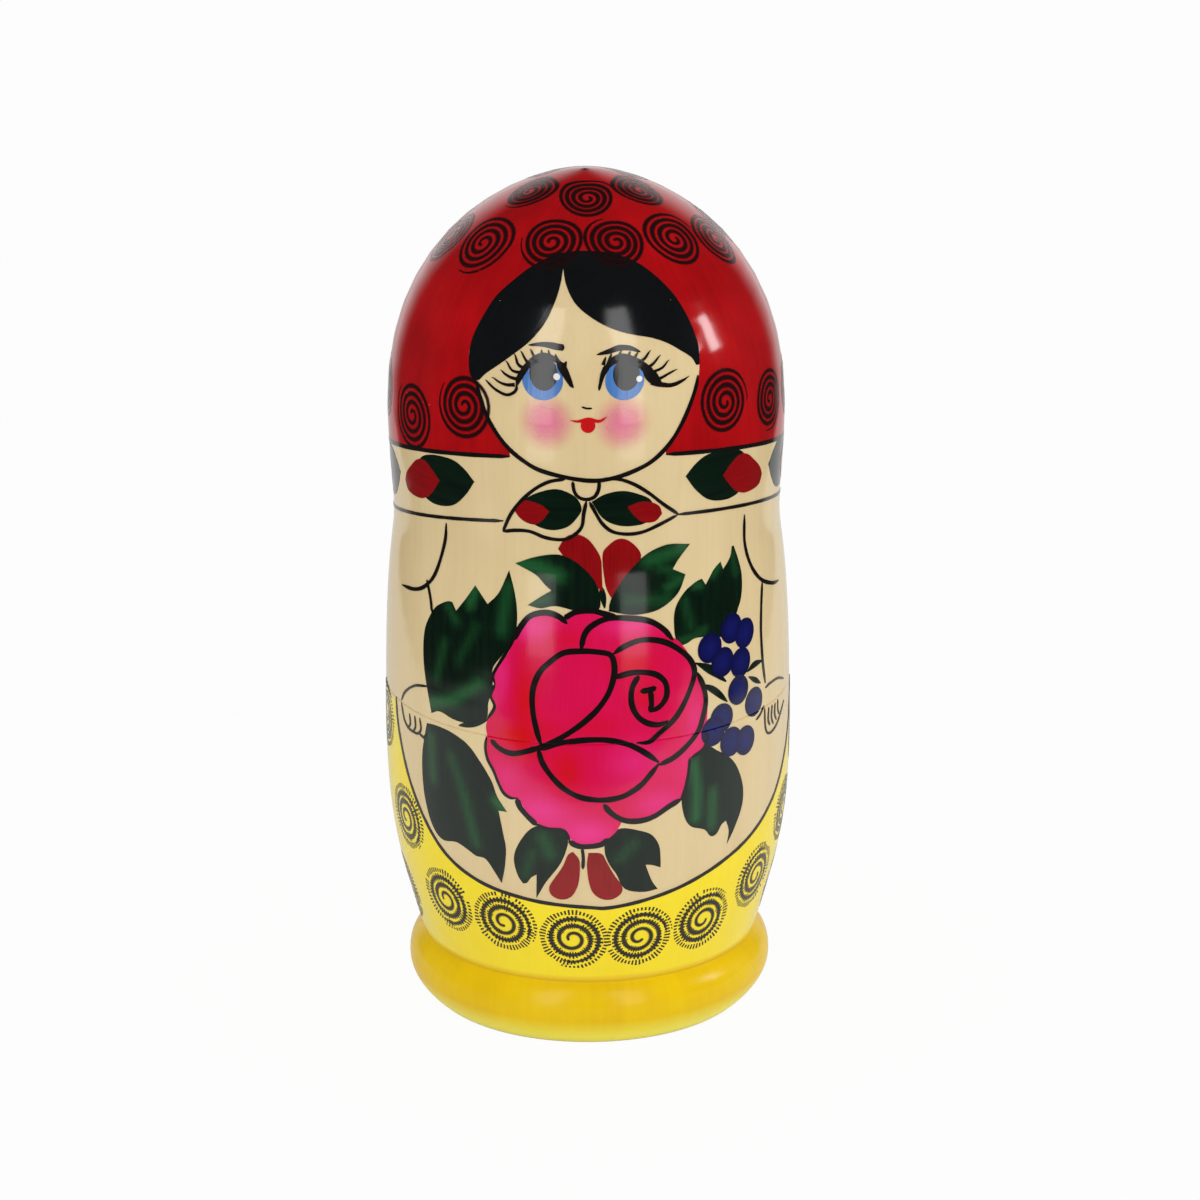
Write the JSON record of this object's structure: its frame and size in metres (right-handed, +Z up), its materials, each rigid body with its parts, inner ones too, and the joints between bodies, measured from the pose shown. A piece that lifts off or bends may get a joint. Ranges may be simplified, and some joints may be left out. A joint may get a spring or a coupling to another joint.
{
  "type": "nesting doll set",
  "caption": "Closed set of turned, painted wooden nesting dolls on a beaded foot; each hollow doll parts at a belly seam into push-fit halves and holds the next smaller doll.",
  "frame": {"origin": "centre of the outer doll's flat foot, on the table", "axes": "+Z up along the turning axis, -Y towards the painted face"},
  "size_m": [0.0798, 0.0798, 0.17],
  "materials": {
    "lower_half": "painted and lacquered outside, raw inside",
    "upper_half": "painted and lacquered outside, raw inside",
    "solid_doll": "painted and lacquered"
  },
  "bodies": {
    "doll_1_bottom": {"doll_1_bottom": "lower_half"},
    "doll_2_bottom": {"doll_2_bottom": "lower_half"},
    "doll_3_bottom": {"doll_3_bottom": "lower_half"},
    "doll_4_bottom": {"doll_4_bottom": "lower_half"},
    "doll_5_bottom": {"doll_5_bottom": "lower_half"},
    "doll_6_bottom": {"doll_6_bottom": "lower_half"},
    "doll_7_solid": {"doll_7_solid": "solid_doll"},
    "doll_6_top": {"doll_6_top": "upper_half"},
    "doll_5_top": {"doll_5_top": "upper_half"},
    "doll_4_top": {"doll_4_top": "upper_half"},
    "doll_3_top": {"doll_3_top": "upper_half"},
    "doll_2_top": {"doll_2_top": "upper_half"},
    "doll_1_top": {"doll_1_top": "upper_half"}
  },
  "joints": [
    {"name": "lift_doll_2", "type": "slide", "parent": "doll_1_bottom", "child": "doll_2_bottom", "axis": [0, 0, 1], "range_m": [0, 0.07]},
    {"name": "lift_doll_3", "type": "slide", "parent": "doll_2_bottom", "child": "doll_3_bottom", "axis": [0, 0, 1], "range_m": [0, 0.056]},
    {"name": "lift_doll_4", "type": "slide", "parent": "doll_3_bottom", "child": "doll_4_bottom", "axis": [0, 0, 1], "range_m": [0, 0.045]},
    {"name": "lift_doll_5", "type": "slide", "parent": "doll_4_bottom", "child": "doll_5_bottom", "axis": [0, 0, 1], "range_m": [0, 0.036]},
    {"name": "lift_doll_6", "type": "slide", "parent": "doll_5_bottom", "child": "doll_6_bottom", "axis": [0, 0, 1], "range_m": [0, 0.029]},
    {"name": "lift_doll_7", "type": "slide", "parent": "doll_6_bottom", "child": "doll_7_solid", "axis": [0, 0, 1], "range_m": [0, 0.023]},
    {"name": "open_doll_6", "type": "slide", "parent": "doll_7_solid", "child": "doll_6_top", "axis": [0, 0, 1], "range_m": [0, 0.03]},
    {"name": "open_doll_5", "type": "slide", "parent": "doll_6_top", "child": "doll_5_top", "axis": [0, 0, 1], "range_m": [0, 0.037]},
    {"name": "open_doll_4", "type": "slide", "parent": "doll_5_top", "child": "doll_4_top", "axis": [0, 0, 1], "range_m": [0, 0.046]},
    {"name": "open_doll_3", "type": "slide", "parent": "doll_4_top", "child": "doll_3_top", "axis": [0, 0, 1], "range_m": [0, 0.058]},
    {"name": "open_doll_2", "type": "slide", "parent": "doll_3_top", "child": "doll_2_top", "axis": [0, 0, 1], "range_m": [0, 0.072]},
    {"name": "open_doll_1", "type": "slide", "parent": "doll_2_top", "child": "doll_1_top", "axis": [0, 0, 1], "range_m": [0, 0.09]}
  ]
}
